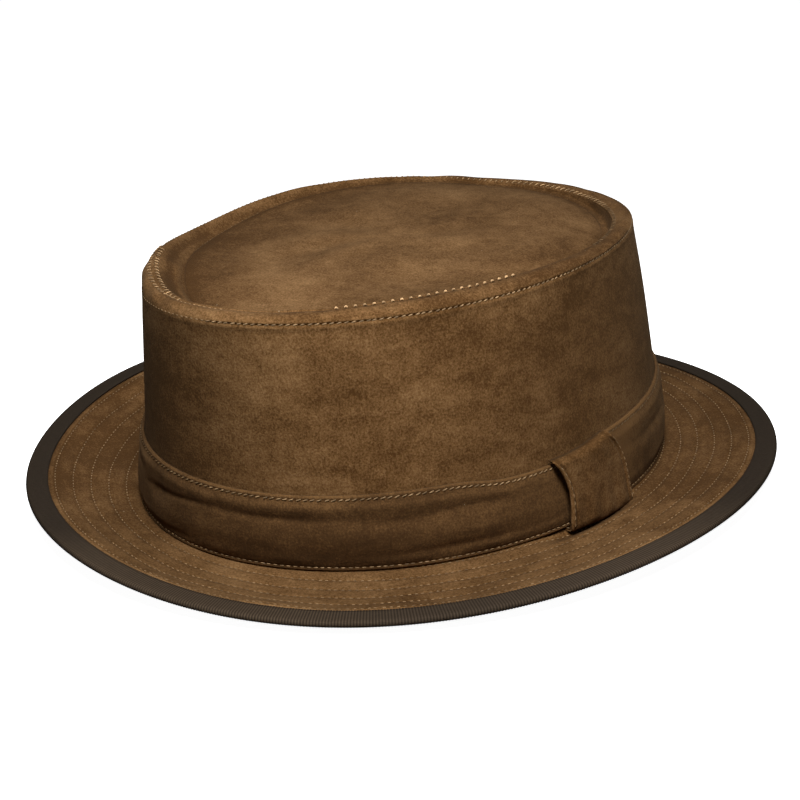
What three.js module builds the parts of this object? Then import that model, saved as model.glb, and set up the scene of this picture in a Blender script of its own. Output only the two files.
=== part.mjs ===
// Porkpie hat of sewn suede: an oval crown whose side panel turns over a stitched rim, a tip
// sunk inside it, a suede band with a keeper, and a soft brim bound with grosgrain ribbon.
// Millimetres, +Z up. -Y is the front of the hat and +X the wearer's left. The origin lies
// under the middle of the brim, on the plane that the hat rests on.
import * as THREE from "three";

// Leather and ribbon
const suedeWall = 2; // the crown's panels
const brimThickness = 2.2; // two plies sewn together
const brimSkived = 1.2; // the same under the binding, where the plies are thinned
const bandThickness = 1.4;
const ribbonThickness = 1;
const seamGap = 0.3; // left between pieces that lie against each other

// Crown, from its foot on the brim up to the folded rim
const crownLength = 204; // front to back, outside, at the foot
const crownWidth = 170.8;
const crownFoot = 4.1; // height of the foot above the resting plane
const crownLean = 0.95; // degrees, towards the front
const waistLength = 202; // at the top edge of the band
const waistWidth = 162.2;
const waistForward = 0.8;
const waistLeft = 0.6;
const seamLength = 197.2; // at the outer row of the rim's stitching
const seamWidth = 143;
const seamForward = 1.8;
const crownHeight = 76.6; // foot to outer row
const ridgeLength = 184; // at the inner row, which lies on the ridge of the rim
const ridgeWidth = 136;
const ridgeForward = 2.4;
const ridgeRight = 2.6; // the rim is rolled over towards the wearer's right
const ridgeRise = 2.7;
const rimBulge = 1.6; // how far the rim swells between its two rows
const rimLap = 3.2; // width of the lapped edge inside the inner row
const rimWave = 3; // how far the rim wanders up and down

// Tip, the oval panel inside the rim
const gutterInset = 8.5; // inner row to the middle of the gutter
const gutterSkew = 1.5; // the gutter is wider at the right front by this much
const gutterSide = (225 * Math.PI) / 180; // the wearer's right front
const gutterWidth = 3; // the nearly level bed of the gutter
const gutterRound = 0.5; // rise of the bed at its outer side
const gutterDepth = 5.2; // ridge to gutter
const tipRise = 4.4; // gutter to the middle of the tip
const tipShoulder = 15; // width of the slope from the gutter up to the tip's flat field
const tipTuck = 0.4; // share of the lapped edge under which the tip's margin starts

// Brim
const brimLength = 280.8;
const brimWidth = 255.4;
const brimLift = 10; // highest part of the edge above its lowest
const brimCurl = 0.45; // share of the brim's rise that comes late, towards the binding
const bindingWidth = 7.5; // ribbon seen on each face of the brim

// Band and keeper
const bandWidth = 23.6;
const bandLift = 1.6; // foot of the crown to the band
const bandSlack = 1.5; // how far the band's folds stand out
const keeperWidth = 27;
const keeperFlare = 2.6; // it is this much wider at its foot
const keeperHeight = 26.4;
const keeperSkew = 6; // its foot lies this much further back than its head
const keeperBack = -7; // its middle, from the middle of the wearer's left side
const keeperThickness = 1.6;
const keeperStand = 1.2; // space between the band at rest and the keeper's face
const keeperLip = 1.1; // thickness of its turned-in lips
const keeperRound = 0.6; // share of its thickness taken off by its rounded edges

const turns = 60; // stations around the hat
const keeperSteps = 6;

// Wander of the rim's two rows around the hat, in shares of rimWave
const rimRows = [
  { turn: 0, seam: 0.8, ridge: 0.65 },
  { turn: 45, seam: 0.4, ridge: -0.65 },
  { turn: 90, seam: -0.4, ridge: -1.2 },
  { turn: 135, seam: -0.5, ridge: 0 },
  { turn: 180, seam: -0.8, ridge: 0.85 },
  { turn: 225, seam: -0.55, ridge: 0.7 },
  { turn: 270, seam: 0.65, ridge: 0.4 },
  { turn: 315, seam: 0.95, ridge: 0.9 },
];

// Lift of the brim's edge around the hat, in shares of brimLift
const brimRows = [
  { turn: 0, lift: 0.67 },
  { turn: 45, lift: 0.26 },
  { turn: 90, lift: -0.06 },
  { turn: 135, lift: 0.14 },
  { turn: 180, lift: 1 },
  { turn: 225, lift: 0.95 },
  { turn: 270, lift: 0.66 },
  { turn: 315, lift: 0.33 },
];

// Folds of the band from its lower edge to its upper one: level in shares of bandWidth and
// stand in shares of bandSlack
const bandFolds = [
  { level: 0, stand: 0 },
  { level: 0.2, stand: 0.75 },
  { level: 0.42, stand: 0.2 },
  { level: 0.68, stand: 1 },
  { level: 0.88, stand: 0.35 },
  { level: 1, stand: 0 },
];

// Slack of the band around the hat, in shares of bandSlack
const slackRows = [
  { turn: 0, slack: 0.3 },
  { turn: 45, slack: 0.5 },
  { turn: 90, slack: 0.4 },
  { turn: 135, slack: 0.6 },
  { turn: 180, slack: 0.35 },
  { turn: 225, slack: 0.15 },
  { turn: 270, slack: 0.5 },
  { turn: 315, slack: 0.8 },
];

const radians = THREE.MathUtils.degToRad;
const lerp = THREE.MathUtils.lerp;

// A column of a table read at any angle: a closed smooth curve through evenly spaced rows
function around(rows, column, angle) {
  const place = THREE.MathUtils.euclideanModulo(angle / (2 * Math.PI), 1) * rows.length;
  const row = Math.floor(place);
  const t = place - row;
  const at = (step) => rows[(row + step + rows.length) % rows.length][column];
  const [before, from, to, after] = [at(-1), at(0), at(1), at(2)];
  const rise = (to - before) / 2;
  const fall = (after - from) / 2;
  const sag = 3 * (to - from) - 2 * rise - fall;
  const twist = 2 * (from - to) + rise + fall;
  return from + t * (rise + t * (sag + t * twist));
}

// A ring of the crown seen as an oval in plan
function oval(width, length, right = 0, forward = 0) {
  return { halfWidth: width / 2, halfLength: length / 2, right, forward };
}

function widened(ring, by) {
  return { ...ring, halfWidth: ring.halfWidth + by, halfLength: ring.halfLength + by };
}

// The point of an oval at an angle, at a height
function onOval(ring, angle, height) {
  return new THREE.Vector3(
    ring.halfWidth * Math.cos(angle) - ring.right,
    ring.halfLength * Math.sin(angle) - ring.forward,
    height,
  );
}

// Crown rings are laid out upright on the crown's own foot, then leaned and lifted into place
const leanAngle = radians(crownLean);
function leaned(point) {
  const lifted = new THREE.Vector3(0, 0, crownFoot);
  return point.applyAxisAngle(new THREE.Vector3(1, 0, 0), leanAngle).add(lifted);
}

const footOval = oval(crownWidth, crownLength);
const waistOval = oval(waistWidth, waistLength, -waistLeft, waistForward);
const seamOval = oval(seamWidth, seamLength, 0, seamForward);
const ridgeOval = oval(ridgeWidth, ridgeLength, ridgeRight, ridgeForward);
const brimOval = oval(brimWidth, brimLength);

const seamHeight = (angle) => crownHeight + rimWave * around(rimRows, "seam", angle);
const ridgeHeight = (angle) =>
  crownHeight + ridgeRise + rimWave * around(rimRows, "ridge", angle);

// Outside of the side panel at a share of the way from foot to seam: one curve through the
// foot, the waist and the seam
function sideOval(share) {
  const waist = (bandLift + bandWidth) / crownHeight;
  const foot = ((share - waist) * (share - 1)) / waist;
  const middle = (share * (share - 1)) / (waist * (waist - 1));
  const top = (share * (share - waist)) / (1 - waist);
  const sum = (name) =>
    foot * footOval[name] + middle * waistOval[name] + top * seamOval[name];
  return {
    halfWidth: sum("halfWidth"),
    halfLength: sum("halfLength"),
    right: sum("right"),
    forward: sum("forward"),
  };
}

function sidePoint(share, angle, inset = 0) {
  return onOval(widened(sideOval(share), -inset), angle, share * seamHeight(angle));
}

// Middle of the rim, swollen out at right angles to the straight line between the two rows
function rimPoint(share, angle, inset = 0) {
  const low = sidePoint(1, angle);
  const high = onOval(ridgeOval, angle, ridgeHeight(angle));
  const across = Math.hypot(high.x - low.x, high.y - low.y);
  const rise = high.z - low.z;
  const slant = Math.hypot(across, rise);
  const out = 4 * share * (1 - share) * rimBulge - inset;
  const middle = low.clone().lerp(high, share);
  const outward = new THREE.Vector3(Math.cos(angle), Math.sin(angle), 0);
  return middle
    .addScaledVector(outward, (out * rise) / slant)
    .add(new THREE.Vector3(0, 0, (out * across) / slant));
}

// Shells are closed bands: at each angle a section of points, running counter-clockwise when
// seen with outward to the right and up upwards, joined all the way round
function shell(section) {
  return skin(ringOf(section), true);
}

// What a function of the angle gives at each station around the hat
function ringOf(at) {
  return Array.from({ length: turns }, (_, i) => at((2 * Math.PI * i) / turns));
}

// Triangles between neighbouring rings of points, and either round again or capped
function skin(rings, closed) {
  const count = rings[0].length;
  const vertices = rings.flat().flatMap((point) => [point.x, point.y, point.z]);
  const faces = [];
  const last = closed ? rings.length : rings.length - 1;
  for (let i = 0; i < last; i += 1) {
    const here = i * count;
    const next = ((i + 1) % rings.length) * count;
    for (let j = 0; j < count; j += 1) {
      const k = (j + 1) % count;
      faces.push(here + j, next + j, next + k);
      faces.push(here + j, next + k, here + k);
    }
  }
  if (!closed) {
    const end = (rings.length - 1) * count;
    const outline = rings[0].map((point) => new THREE.Vector2(point.x, point.z));
    THREE.ShapeUtils.triangulateShape(outline, []).forEach(([a, b, c]) => {
      const turn = new THREE.Triangle(...[a, b, c].map((n) => new THREE.Vector3(...outline[n], 0)));
      const flip = turn.getNormal(new THREE.Vector3()).z < 0;
      const [p, q] = flip ? [c, b] : [b, c];
      faces.push(a, p, q);
      faces.push(end + a, end + q, end + p);
    });
  }
  return geometry(vertices, faces);
}

function geometry(vertices, faces) {
  const made = new THREE.BufferGeometry();
  made.setAttribute("position", new THREE.Float32BufferAttribute(vertices, 3));
  made.setIndex(faces);
  made.computeVertexNormals();
  return made;
}

// Discs are closed plates: rings from the rim's edge to a middle point, on top and below
function disc(rings, topMiddle, underMiddle) {
  const vertices = rings.flat().flatMap((point) => [point.x, point.y, point.z]);
  const faces = [];
  for (let ring = 0; ring + 1 < rings.length; ring += 1) {
    for (let i = 0; i < turns; i += 1) {
      const next = (i + 1) % turns;
      const [a, b] = [ring * turns + i, ring * turns + next];
      const [c, d] = [a + turns, b + turns];
      faces.push(a, b, d);
      faces.push(a, d, c);
    }
  }
  const under = rings.length * turns;
  vertices.push(...underMiddle.toArray(), ...topMiddle.toArray());
  const top = (rings.length - 1) * turns;
  for (let i = 0; i < turns; i += 1) {
    const next = (i + 1) % turns;
    faces.push(under, next, i);
    faces.push(top + i, top + next, under + 1);
  }
  return geometry(vertices, faces);
}

// Side panel: foot, side, rim and lapped edge outside, and the same inside
function crownSide() {
  const levels = [0, 0.16, 0.32, 0.55, 0.78, 1];
  const swell = [0.3, 0.6, 1];
  return shell((angle) => {
    const outside = levels.map((share) => sidePoint(share, angle));
    swell.forEach((share) => outside.push(rimPoint(share, angle)));
    outside.push(lapPoint(angle, 0));
    const inside = levels.map((share) => sidePoint(share, angle, suedeWall));
    inside[levels.length - 1] = rimPoint(0, angle, suedeWall);
    swell.forEach((share) => inside.push(rimPoint(share, angle, suedeWall)));
    inside.push(lapPoint(angle, suedeWall));
    return [...outside, ...inside.reverse()].map(leaned);
  });
}

// Free edge of the side panel where it laps over the tip, level with the ridge
function lapPoint(angle, depth) {
  const ring = widened(ridgeOval, -rimLap);
  return onOval(ring, angle, ridgeHeight(angle) - depth);
}

// Tip: a margin under the lapped edge, the gutter, and the raised field
function tipOval(inset, angle) {
  const skew = gutterSkew * Math.cos(angle - gutterSide);
  return widened(ridgeOval, -inset - skew);
}

// Rings of the tip from its margin inwards, each an outline and its height round the hat
const marginHeight = (angle) => ridgeHeight(angle) - suedeWall - seamGap;
const bedHeight = (angle) => ridgeHeight(angle) - gutterDepth;
const fieldHeight = crownHeight + ridgeRise - gutterDepth + tipRise;
const slopeHeight = (share) => (angle) => lerp(bedHeight(angle), fieldHeight, share);
const tipRings = [
  { outline: () => widened(ridgeOval, -rimLap * tipTuck), height: marginHeight },
  { outline: () => widened(ridgeOval, -rimLap), height: marginHeight },
  {
    outline: (angle) => tipOval(gutterInset - gutterWidth / 2, angle),
    height: (angle) => bedHeight(angle) + gutterRound,
  },
  { outline: (angle) => tipOval(gutterInset + gutterWidth / 4, angle), height: bedHeight },
  {
    outline: (angle) => tipOval(gutterInset + tipShoulder / 3, angle),
    height: slopeHeight(0.4),
  },
  { outline: (angle) => tipOval(gutterInset + tipShoulder, angle), height: slopeHeight(0.8) },
];

// Point of the tip's field, a share of the way from its last ring to the middle
function fieldPoint(share, angle) {
  const { outline, height } = tipRings[tipRings.length - 1];
  const edge = onOval(outline(angle), angle, height(angle));
  const point = edge.clone().lerp(fieldMiddle(), share);
  point.z = lerp(edge.z, fieldHeight, 1 - (1 - share) ** 2);
  return point;
}

const fieldMiddle = () => new THREE.Vector3(-ridgeRight, -ridgeForward, fieldHeight);

function crownTip() {
  const lines = [
    ...tipRings.map(({ outline, height }) => (angle) => onOval(outline(angle), angle, height(angle))),
    (angle) => fieldPoint(0.5, angle),
  ];
  const dropped = (point, drop) => leaned(point.sub(new THREE.Vector3(0, 0, drop)));
  const face = (drop) => lines.map((line) => ringOf((angle) => dropped(line(angle), drop)));
  return disc(
    [...face(suedeWall).reverse(), ...face(0)],
    dropped(fieldMiddle(), 0),
    dropped(fieldMiddle(), suedeWall),
  );
}

// Brim: from inside the crown's foot out to the binding
const bindingHalf = brimSkived / 2 + seamGap + ribbonThickness;
const edgeHeight = (angle) =>
  bindingHalf + brimLift * Math.max(0, around(brimRows, "lift", angle));

// Middle of the brim's thickness at a share of the way out from the crown's foot. It is level
// under the binding, and nothing of it goes below the resting plane.
function brimPoint(share, angle, up) {
  const foot = leaned(onOval(footOval, angle, -seamGap - brimThickness / 2));
  const edge = onOval(widened(brimOval, -ribbonThickness - seamGap), angle, edgeHeight(angle));
  const point = foot.clone().lerp(edge, share);
  const way = Math.min(1, share / bindingMargin(angle));
  point.z = lerp(foot.z, edge.z, lerp(way, way ** 2, brimCurl)) + up;
  return rested(point);
}

function rested(point) {
  point.z = Math.max(0, point.z);
  return point;
}

function brim() {
  const half = brimThickness / 2;
  const skived = brimSkived / 2;
  return shell((angle) => {
    const hole = widened(footOval, -suedeWall);
    const inside = (up) => rested(leaned(onOval(hole, angle, up - seamGap - half)));
    const step = bindingMargin(angle) - (2 * seamGap) / brimReach(angle);
    const face = (side) => [
      inside(side * half),
      ...[0, 0.25, 0.5, 0.75, 1].map((part) => brimPoint(step * part, angle, side * half)),
      brimPoint(bindingMargin(angle), angle, side * skived),
      brimPoint(1, angle, side * skived),
    ];
    return [...face(-1), ...face(1).reverse()];
  });
}

// Binding: a ribbon folded over the brim's edge
function brimBinding() {
  const inner = brimSkived / 2 + seamGap;
  const outer = bindingHalf;
  return shell((angle) => {
    const edge = edgeHeight(angle);
    const margin = bindingMargin(angle) + seamGap / brimReach(angle);
    const near = lerp(margin, 1, 0.6);
    const rim = (back, up) => onOval(widened(brimOval, -back), angle, edge + up);
    return [
      brimPoint(margin, angle, -outer),
      brimPoint(near, angle, -outer),
      rim(ribbonThickness * 0.9, -outer),
      rim(0, -outer * 0.45),
      rim(0, outer * 0.45),
      rim(ribbonThickness * 0.9, outer),
      brimPoint(near, angle, outer),
      brimPoint(margin, angle, outer),
      brimPoint(margin, angle, inner),
      brimPoint(near, angle, inner),
      rim(ribbonThickness, inner),
      rim(ribbonThickness, -inner),
      brimPoint(near, angle, -inner),
      brimPoint(margin, angle, -inner),
    ];
  });
}

// Share of the way out at which the binding starts
function bindingMargin(angle) {
  return 1 - bindingWidth / brimReach(angle);
}

// Width of the brim at an angle, measured along the ray
function brimReach(angle) {
  const from = onOval(footOval, angle, 0);
  return from.distanceTo(onOval(brimOval, angle, 0));
}

// Band: a slack strip round the crown's foot
function bandPoint(level, angle, out) {
  const height = bandLift + level * bandWidth;
  const ring = widened(sideOval(height / crownHeight), seamGap + out);
  return onOval(ring, angle, height);
}

const bandStand = (stand, angle) => bandSlack * stand * around(slackRows, "slack", angle);

function hatBand() {
  return shell((angle) => {
    const outside = bandFolds.map(({ level, stand }) =>
      bandPoint(level, angle, bandThickness + bandStand(stand, angle)),
    );
    const inside = bandFolds.map(({ level, stand }) =>
      bandPoint(level, angle, bandStand(stand, angle)),
    );
    return [...outside, ...inside.reverse()].map(leaned);
  });
}

// Keeper: a strip wrapped round the band, seen as a C with its lips turned in
function bandKeeper() {
  const bottom = -(keeperLip + seamGap) / bandWidth;
  const top = bottom + keeperHeight / bandWidth;
  const lip = keeperLip / bandWidth;
  const back = bandThickness / 2;
  const under = bandThickness + keeperStand;
  const front = under + keeperThickness;
  const corner = front - keeperThickness * keeperRound;
  const rings = Array.from({ length: keeperSteps + 1 }, (_, i) => {
    const place = (level, out) => {
      const down = 0.5 - (level - bottom) / (top - bottom);
      const width = keeperWidth + keeperFlare * (0.5 + down);
      const along = keeperBack + width * (i / keeperSteps - 0.5) + keeperSkew * down;
      return leaned(bandPoint(level, Math.asin(along / (crownLength / 2)), out));
    };
    return [
      place(bottom, back),
      place(bottom, corner),
      place(bottom + lip / 2, front),
      place(top - lip / 2, front),
      place(top, corner),
      place(top, back),
      place(top - lip, back),
      place(top - lip, under),
      place(bottom + lip, under),
      place(bottom + lip, back),
    ];
  });
  return skin(rings, false);
}

const suede = { color: 0x6f5233, roughness: 0.95, metalness: 0 };
const darkSuede = { color: 0x5a4029, roughness: 0.95, metalness: 0 };
const ribbon = { color: 0x3d322a, roughness: 0.8, metalness: 0 };

function piece(name, made, finish) {
  const mesh = new THREE.Mesh(made, new THREE.MeshStandardMaterial(finish));
  mesh.name = name;
  return mesh;
}

const hat = new THREE.Group();
hat.add(
  piece("crown_side", crownSide(), suede),
  piece("crown_tip", crownTip(), suede),
  piece("brim", brim(), suede),
  piece("brim_binding", brimBinding(), ribbon),
  piece("hat_band", hatBand(), darkSuede),
  piece("band_keeper", bandKeeper(), darkSuede),
);

export default hat;
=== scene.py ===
"""Porkpie hat of sewn suede: a leaned oval crown with a stitched rolled rim, a tip sunk inside it,
a slack band with its keeper, and a soft brim bound with ribbon. -Y is the front of the hat and
+X the wearer's left. Shapes are worked out in millimetres and put into the meshes in metres."""

import math
from functools import partial
from types import SimpleNamespace

import bpy
import numpy as np
from mathutils import Matrix, Vector


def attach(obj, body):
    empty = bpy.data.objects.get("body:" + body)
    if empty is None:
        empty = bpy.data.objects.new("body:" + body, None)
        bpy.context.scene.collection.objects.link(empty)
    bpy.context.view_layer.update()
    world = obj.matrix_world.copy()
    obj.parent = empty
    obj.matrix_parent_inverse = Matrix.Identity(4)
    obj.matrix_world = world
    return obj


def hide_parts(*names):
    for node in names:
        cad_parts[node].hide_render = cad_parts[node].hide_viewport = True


bl_info = {
    "name": "Porkpie Hat",
    "version": (1, 0, 0),
    "blender": (4, 5, 0),
    "location": "View3D > Sidebar > Hat",
    "description": "Builds a sewn suede porkpie hat with its band, keeper and bound brim",
    "category": "Add Mesh",
}

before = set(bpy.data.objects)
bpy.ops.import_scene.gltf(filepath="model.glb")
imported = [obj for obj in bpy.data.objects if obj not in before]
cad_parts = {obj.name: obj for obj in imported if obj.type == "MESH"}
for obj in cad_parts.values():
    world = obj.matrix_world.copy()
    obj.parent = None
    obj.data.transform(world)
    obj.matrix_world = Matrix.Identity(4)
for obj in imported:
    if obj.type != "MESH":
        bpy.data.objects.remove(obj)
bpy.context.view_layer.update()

MM = 0.001
TURN = 2.0 * math.pi
STATIONS = 720  # grid lines around the hat
SPACE = 0.3  # millimetres between the crown and what lies against it
SKIVE = (-9.0, -7.8)  # where the brim thins towards its binding, in millimetres from the edge
FLAT_EDGE = 7.5  # millimetres of the brim that stay level under the binding
WORN_PULL = 0.2  # share of the outer stitching's pull that is left where the rim is worn
HOLE = 0.75  # usual length of a needle hole, millimetres
FOLD_ROOM = 0.1  # millimetres between the brim's edge and the ribbon folded over it
DIP_DEPTH = 2.2  # depth in millimetres of the brim's dip before the keeper
BAND_RADIUS = 95.0  # turns angles into millimetres along the band
FLOOR_GAP = {"brim": 0.03, "binding": 0.02, "thread": 0.01}  # least height of each, millimetres

# Angles of single features in degrees, from the wearer's left by way of the back
WORN_CORNER = 238.0  # front right corner of the rim
RIM_SCUFF = 322.0  # scuffed spot of the rim
SIDE_ROLL = 5.0  # where the side's painted shade fades out towards the rim
TIP_PAINTED_SHADOW = 205.0  # side of the tip with a painted shadow of the rim
TIP_DENT_PAINTED_SHADE = 24.0  # painted shade of a soft dent in the tip
BRIM_SAG = 312.0  # sag of the brim
BRIM_DIP = 355.0  # dip of the brim before the keeper, and painted shadow under the keeper's foot
BAND_SINK = 345.0  # lowest place of the band's upper edge
BAND_HELD = -5.0  # band under the keeper

# The photo's camera: the directions of its right, top and back, and its place in metres
CAMERA_AXES = (
    (0.75654, 0.65339, -0.02715), (-0.2156, 0.2884, 0.93292), (0.61739, -0.69994, 0.35906),
)
CAMERA_PLACE = (0.39537, -0.45183, 0.25335)

# Each light: name, place, aim and side in metres, share of the key light's power
LIGHTS = (
    ("key", (0.30, -0.32, 0.84), (0.04, -0.07, 0.07), 0.28, 1.0),
    ("back", (-0.22, 0.40, 0.88), (0.01, -0.01, 0.05), 0.35, 0.3),
)

# Tables around the hat hold evenly spaced values from the wearer's left by way of the back.
RIM_SEAM = (0.8, 0.4, -0.4, -0.5, -0.8, -0.55, 0.65, 0.95)  # shares of the rim's wave
RIM_RIDGE = (
    0.65, -0.07, -0.73, -1.17, -1.2, -0.94, 0.03, 0.72,
    0.65, 0.35, 1.01, 0.5, 0.4, 0.61, 0.9, 0.96,
)
BRIM_LIFT = (0.67, 0.59, 0.34, 0.05, -0.04, 0.44, 1.1, 0.99, 0.8, 0.57, 0.28, 0.43)  # of its lift
BAND_SLACK = (0.3, 0.5, 0.4, 0.6, 0.35, 0.15, 0.5, 0.8)  # shares of the band's slack
WELL_WIDTH = (5.0, 4.4, 3.0, 2.2, 2.4, 3.2, 4.6, 7.6, 11.2, 8.2, 6.5, 5.5)  # ridge to crease
WELL_DEPTH = (5.0, 5.2, 3.0, 1.2, 1.0, 2.0, 3.0, 4.2, 5.4, 5.2, 5.0, 5.0)
BRIM_PAINTED_SHADE = (0.2, 0.85, 0.85, 0.7, 0.7, 0.7, 0.75, 0.95, 0.7, 0.0, 0.05, 0.2)  # painted shade, least at the front
# Painted shade around the crown's side, least at the front and most at the wearer's front right
SIDE_PAINTED_SHADE = (0.4, 0.4, 0.4, 0.4, 0.4, 0.4, 0.6, 1.05, 1.35, 0.5, -0.05, 0.45)
# Painted shade around the rim; below 0 it is painted light
RIM_PAINTED_SHADE = (0.45, 0.4, 0.3, 0.3, 0.3, 0.3, 0.2, -0.1, -0.35, 0.0, 0.15, 0.3)
# Painted light around the band
BAND_PAINTED_LIGHT = (0.7, 0.6, 0.35, 0.3, 0.3, 0.3, 0.4, 0.7, 1.0, 0.4, 0.0, 0.1)
LIP = (0.5, 1.0, 1.0, 0.7, 0.4, 0.2, 0.1, 0.0, 0.0, 0.0, 0.0, 0.1)  # how sharp the rim's lip is

# Folds of the band: angle in degrees, share of the height, then in millimetres the reach along
# and across, the rise in one millimetre along and how far the fold stands out
BAND_FOLDS = (
    (255.0, 0.55, 8.0, 2.6, 0.03, -1.2),
    (262.0, 0.64, 17.0, 1.2, 0.09, -0.9),
    (288.0, 0.69, 24.0, 1.3, 0.0, -0.8),
    (276.5, 0.78, 1.7, 2.6, 0.0, -0.6),
    (278.5, 0.62, 1.6, 2.0, -0.8, -0.4),
    (258.0, 0.10, 17.0, 1.5, 0.09, -0.9),
    (268.0, 0.36, 20.0, 3.2, 0.02, 0.6),
    (314.0, 0.63, 12.0, 1.8, 0.0, -0.6),
    (328.0, 0.70, 16.0, 1.5, 0.06, -0.7),
    (343.0, 0.82, 11.0, 1.4, 0.05, -0.7),
    (337.0, 0.45, 20.0, 2.8, 0.04, 0.7),
    (325.0, 0.21, 28.0, 1.5, 0.02, -0.8),
    (345.0, 0.22, 9.0, 1.3, 0.06, -0.5),
    (22.0, 0.60, 24.0, 1.8, -0.03, -0.8),
    (48.0, 0.34, 20.0, 1.6, 0.03, -0.7),
    (74.0, 0.66, 26.0, 1.5, 0.02, -0.7),
    (104.0, 0.40, 20.0, 2.0, -0.04, -0.6),
    (135.0, 0.62, 24.0, 1.6, 0.03, -0.8),
    (160.0, 0.30, 18.0, 1.6, 0.03, -0.7),
    (188.0, 0.66, 22.0, 1.5, -0.03, -0.8),
    (215.0, 0.36, 20.0, 1.8, 0.03, -0.7),
    (234.0, 0.70, 14.0, 1.4, -0.04, -0.8),
)


def number(about, value, **more):
    return bpy.props.FloatProperty(description=about, default=value, **more)


def size(about, millimetres):
    """A length that a user can change, given here in millimetres"""
    return number(about, millimetres * MM, unit="LENGTH", precision=4)


def share(about, value):
    return number(about, value, min=0.0, max=1.0, subtype="FACTOR")


def tint(about, value):
    return bpy.props.FloatVectorProperty(
        description=about, default=value, size=3, min=0.0, max=1.0, subtype="COLOR"
    )


class HatCrownSizes(bpy.types.PropertyGroup):
    length: size("Front to back at the foot, outside", 204.0)
    width: size("Side to side at the foot, outside", 170.8)
    foot: size("Height of the crown's foot above the resting plane", 4.1)
    lean: number("Lean of the crown towards the front", math.radians(0.95), subtype="ANGLE")
    waist_length: size("Front to back at the band's top edge", 202.0)
    waist_width: size("Side to side at the band's top edge", 162.2)
    waist_left: size("Shift of the waist to the wearer's left", 1.1)
    waist_back: size("Shift of the waist to the back", -0.8)
    seam_length: size("Front to back at the rim's outer stitching", 197.2)
    seam_width: size("Side to side at the rim's outer stitching", 143.0)
    seam_back: size("Shift of the outer stitching to the back", -1.8)
    height: size("Foot to the rim's outer stitching", 76.6)
    ridge_length: size("Front to back at the rim's inner stitching", 184.0)
    ridge_width: size("Side to side at the rim's inner stitching", 136.0)
    ridge_left: size("Shift of the ridge to the wearer's left", -2.6)
    ridge_back: size("Shift of the ridge to the back", -2.4)
    ridge_rise: size("Outer stitching to the ridge", 2.7)
    rim_swell: size("How far the rolled rim stands proud between its rows", 1.25)
    rim_wave: size("How far the rim wanders up and down", 3.0)
    wall: size("Thickness of the crown's panels", 2.0)
    field_rise: size("Middle of the tip above the mean ridge", -1.0)


class HatBrimSizes(bpy.types.PropertyGroup):
    length: size("Front to back over the binding", 280.8)
    width: size("Side to side over the binding", 255.4)
    lift: size("Highest part of the edge above its lowest", 10.0)
    curl: share("Share of the brim's rise that comes late", 0.45)
    thickness: size("Two plies sewn together", 2.2)
    skived: size("Thickness under the binding", 1.0)
    gap: size("Space between pieces that lie against each other", 0.3)
    ribbon: size("Thickness of the binding", 0.5)
    binding: size("Ribbon seen on each face of the brim", 7.5)
    rib: size("Spacing of the ribbon's ribs", 0.95)
    dip: size("How far the brim sags in front of the keeper", 1.7)
    edge_row: size("Outer edge to the outermost row of stitches", 9.2)
    row_step: size("Spacing of the brim's rows of stitches", 6.1)
    rows: bpy.props.IntProperty(
        description="Rows of stitches inside the edge row", default=5, min=0
    )


class HatBandSizes(bpy.types.PropertyGroup):
    width: size("Width of the band", 25.5)
    lift: size("Foot of the crown to the band's lower edge", -0.3)
    thickness: size("Thickness of the band", 1.4)
    slack: size("How far the band's folds stand out", 1.0)
    hem: size("Edge of the band to its row of stitches", 1.25)
    sink: size("How far the band's upper edge sinks in front of the keeper", 2.7)
    keeper_width: size("Width of the keeper at its head", 27.0)
    keeper_flare: size("Extra width of the keeper at its foot", 5.4)
    keeper_height: size("Height of the keeper", 28.7)
    keeper_drop: size("Foot of the keeper below the band", 1.8)
    keeper_bow: size("How far the keeper's sides bow to the back", 2.4)
    keeper_skew: size("How far the keeper's foot lies behind its head", 6.6)
    keeper_back: size("Middle of the keeper behind the middle of the side", -6.7)
    keeper_stand: size("Space between the band and the keeper", 1.0)
    keeper_thickness: size("Thickness of the keeper", 1.6)


class HatStitchSizes(bpy.types.PropertyGroup):
    pitch: size("Spacing of the wide stitches", 2.5)
    fine: size("Spacing of the small stitches", 2.2)


class HatFinish(bpy.types.PropertyGroup):
    suede: tint("Middle colour of the suede", (0.178, 0.0905, 0.0330))
    suede_dark: tint("Suede where the nap lies away", (0.080, 0.0360, 0.0100))
    suede_light: tint("Suede where the nap is brushed up", (0.31, 0.175, 0.075))
    band: tint("Middle colour of the band", (0.078, 0.0380, 0.0136))
    band_light: tint("Band where the nap is brushed up", (0.152, 0.0785, 0.0290))
    ribbon: tint("Colour of the ribbon", (0.0305, 0.021, 0.0132))
    thread: tint("Colour of the thread", (0.34, 0.215, 0.105))
    # Painted shade: the suede is darkened where it is seen edge on
    edge_painted_shade: share("Darkening of the nap seen edge on", 0.66)


class HatStage(bpy.types.PropertyGroup):
    floor: size("Side of the floor", 12000.0)
    floor_tint: tint("Colour of the floor", (0.90, 0.90, 0.90))
    bounce: share("Share of the floor's light thrown back at the hat", 0.10)
    sky: number("Strength of the light from all round", 0.055, min=0.0)
    key: number("Power of the soft light above the front", 1.08, unit="POWER")
    spread: number("Width of the soft light's beam", math.radians(50.0), subtype="ANGLE")
    lens: number("Focal length in millimetres", 80.63, min=1.0)


GROUPS = {
    "hat_crown": HatCrownSizes,
    "hat_brim": HatBrimSizes,
    "hat_band": HatBandSizes,
    "hat_stitch": HatStitchSizes,
    "hat_finish": HatFinish,
    "hat_stage": HatStage,
}


def sizes(name):
    """The values of a property group, its lengths in millimetres"""
    group = getattr(bpy.context.scene, name)
    values = {}
    for key, prop in group.bl_rna.properties.items():
        if prop.type in {"FLOAT", "INT"}:
            value = getattr(group, key)
            is_length = getattr(prop, "unit", "NONE") == "LENGTH"
            values[key] = value / MM if is_length else value
    return SimpleNamespace(**values)


# Curves and rings


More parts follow.
